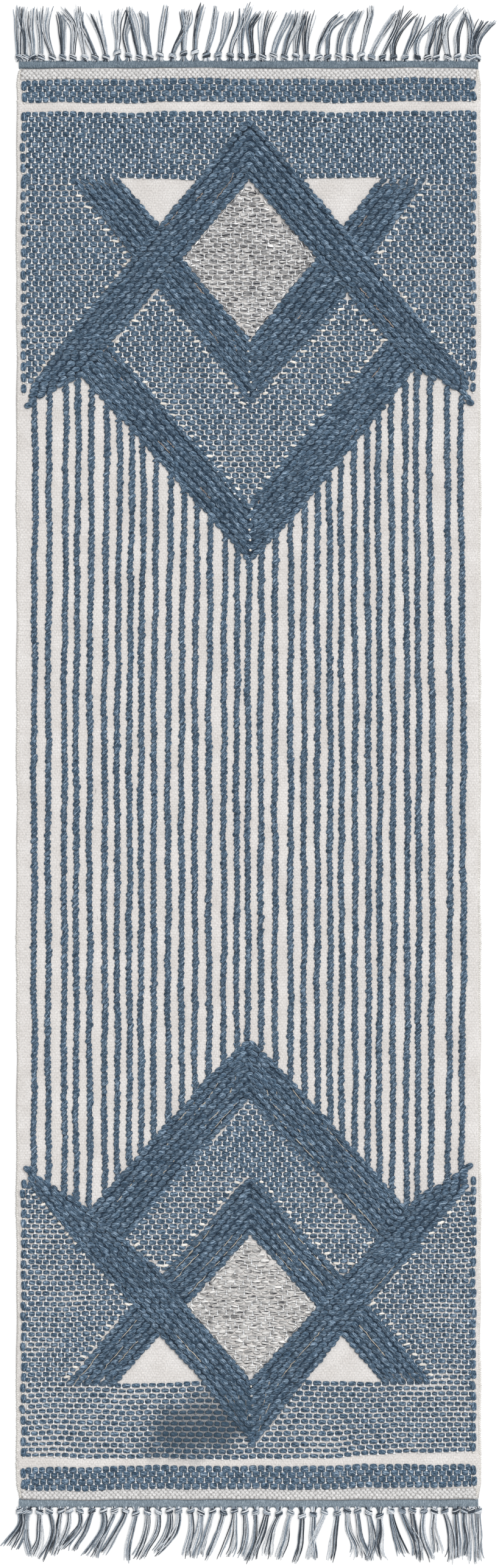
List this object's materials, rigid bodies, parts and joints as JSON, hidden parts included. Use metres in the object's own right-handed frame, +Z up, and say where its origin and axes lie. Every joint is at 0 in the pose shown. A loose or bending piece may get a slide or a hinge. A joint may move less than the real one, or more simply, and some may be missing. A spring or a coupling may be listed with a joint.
{
  "type": "flatweave wool runner rug",
  "caption": "Flat hand-woven wool runner with raised chevron bands, ribbed stripes and a knotted fringe at both ends.",
  "frame": {"origin": "on the floor under the middle of the rug, which lies flat", "axes": "+Y along the rug's length, +X across its width, +Z up from the floor to the woven face"},
  "size_m": [0.78, 2.56, 0.0078],
  "materials": {
    "blue_wool": "matte",
    "white_wool": "matte",
    "marled_wool": "matte",
    "heading_yarn": "matte",
    "fringe_yarn": "matte"
  },
  "bodies": {
    "root": {"rug_cloth": "blue_wool", "fringe_far": "fringe_yarn", "fringe_near": "fringe_yarn"}
  },
  "joints": []
}
